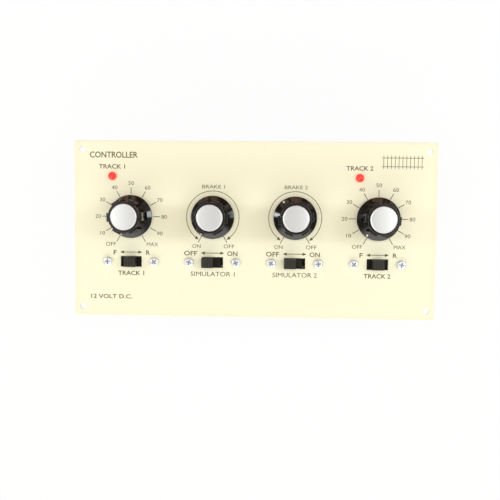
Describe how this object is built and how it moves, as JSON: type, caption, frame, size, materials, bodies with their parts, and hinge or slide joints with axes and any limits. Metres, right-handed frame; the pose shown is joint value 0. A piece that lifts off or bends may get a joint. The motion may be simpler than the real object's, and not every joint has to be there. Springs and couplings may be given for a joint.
{
  "type": "model railway controller",
  "caption": "Panel-mounted twin-track model railway controller: printed metal panel with turning speed and brake knobs, slide switches and lamps, electronics behind.",
  "frame": {"origin": "centre of the four fixing holes, on the panel's back face", "axes": "+X to the right and +Y to the top as the legends are read, +Z out of the front face"},
  "size_m": [0.2194, 0.1068, 0.0637],
  "materials": {
    "panel_cream": "satin stoved paint, printed",
    "knob_black": "polished moulding",
    "cap_aluminium": "spun and satin anodised",
    "zinc": "die cast",
    "plated_steel": "bright zinc plate",
    "shaft_metal": "turned",
    "bronze": "spring bronze",
    "slider_black": "moulded",
    "lamp_red": "tinted clear resin",
    "phenolic": "brown paper laminate",
    "tinned": "tinned",
    "bright_screw": "bright nickel plate",
    "board_green": "glass-fibre laminate with lacquer",
    "sink_black": "black anodised",
    "chip_black": "moulded epoxy",
    "sleeve_blue": "shrunk sleeve",
    "resistor_tan": "lacquered",
    "cutout_white": "moulded",
    "terminal_green": "moulded"
  },
  "bodies": {
    "root": {"board_screws": "bright_screw", "brake_1_pot_bush": "zinc", "brake_1_pot_cover": "plated_steel", "brake_2_pot_bush": "zinc", "brake_2_pot_cover": "plated_steel", "bridge_rectifiers": "chip_black", "capacitors": "sleeve_blue", "circuit_board": "board_green", "control_chips": "chip_black", "direction_1_switch_frame": "plated_steel", "direction_2_switch_frame": "plated_steel", "front_panel": "panel_cream", "heat_sink_1": "sink_black", "heat_sink_2": "sink_black", "lamp_leads": "tinned", "overload_cutouts": "cutout_white", "pot_nuts": "plated_steel", "pot_tags": "tinned", "pot_wafers": "phenolic", "pot_washers": "plated_steel", "power_transistors": "chip_black", "resistors": "resistor_tan", "simulator_1_switch_frame": "plated_steel", "simulator_2_switch_frame": "plated_steel", "speed_1_pot_bush": "zinc", "speed_1_pot_cover": "plated_steel", "speed_2_pot_bush": "zinc", "speed_2_pot_cover": "plated_steel", "switch_bases": "phenolic", "switch_screws": "bright_screw", "switch_tags": "tinned", "terminal_block": "terminal_green", "terminal_screws": "bright_screw", "track_1_lamp": "lamp_red", "track_2_lamp": "lamp_red", "transistor_screws": "bright_screw"},
    "speed_1_control": {"speed_1_knob": "knob_black", "speed_1_cap": "cap_aluminium", "speed_1_shaft": "shaft_metal", "speed_1_wiper": "bronze"},
    "brake_1_control": {"brake_1_knob": "knob_black", "brake_1_cap": "cap_aluminium", "brake_1_shaft": "shaft_metal", "brake_1_wiper": "bronze"},
    "brake_2_control": {"brake_2_knob": "knob_black", "brake_2_cap": "cap_aluminium", "brake_2_shaft": "shaft_metal", "brake_2_wiper": "bronze"},
    "speed_2_control": {"speed_2_knob": "knob_black", "speed_2_cap": "cap_aluminium", "speed_2_shaft": "shaft_metal", "speed_2_wiper": "bronze"},
    "direction_1_thumb": {"direction_1_slider": "slider_black", "direction_1_contacts": "bronze"},
    "simulator_1_thumb": {"simulator_1_slider": "slider_black", "simulator_1_contacts": "bronze"},
    "simulator_2_thumb": {"simulator_2_slider": "slider_black", "simulator_2_contacts": "bronze"},
    "direction_2_thumb": {"direction_2_slider": "slider_black", "direction_2_contacts": "bronze"}
  },
  "joints": [
    {"name": "speed_1_turn", "type": "hinge", "parent": "root", "child": "speed_1_control", "pos_m": [-0.075, 0.0075, 0], "axis": [0, 0, -1], "range_deg": [0, 300]},
    {"name": "brake_1_turn", "type": "hinge", "parent": "root", "child": "brake_1_control", "pos_m": [-0.025, 0.0075, 0], "axis": [0, 0, -1], "range_deg": [0, 300]},
    {"name": "brake_2_turn", "type": "hinge", "parent": "root", "child": "brake_2_control", "pos_m": [0.025, 0.0075, 0], "axis": [0, 0, -1], "range_deg": [-114, 186]},
    {"name": "speed_2_turn", "type": "hinge", "parent": "root", "child": "speed_2_control", "pos_m": [0.075, 0.0075, 0], "axis": [0, 0, -1], "range_deg": [0, 300]},
    {"name": "direction_1_slide", "type": "slide", "parent": "root", "child": "direction_1_thumb", "axis": [1, 0, 0], "range_m": [-0.0028, 0.0028]},
    {"name": "simulator_1_slide", "type": "slide", "parent": "root", "child": "simulator_1_thumb", "axis": [1, 0, 0], "range_m": [0, 0.0056]},
    {"name": "simulator_2_slide", "type": "slide", "parent": "root", "child": "simulator_2_thumb", "axis": [1, 0, 0], "range_m": [0, 0.0056]},
    {"name": "direction_2_slide", "type": "slide", "parent": "root", "child": "direction_2_thumb", "axis": [1, 0, 0], "range_m": [-0.0028, 0.0028]}
  ]
}
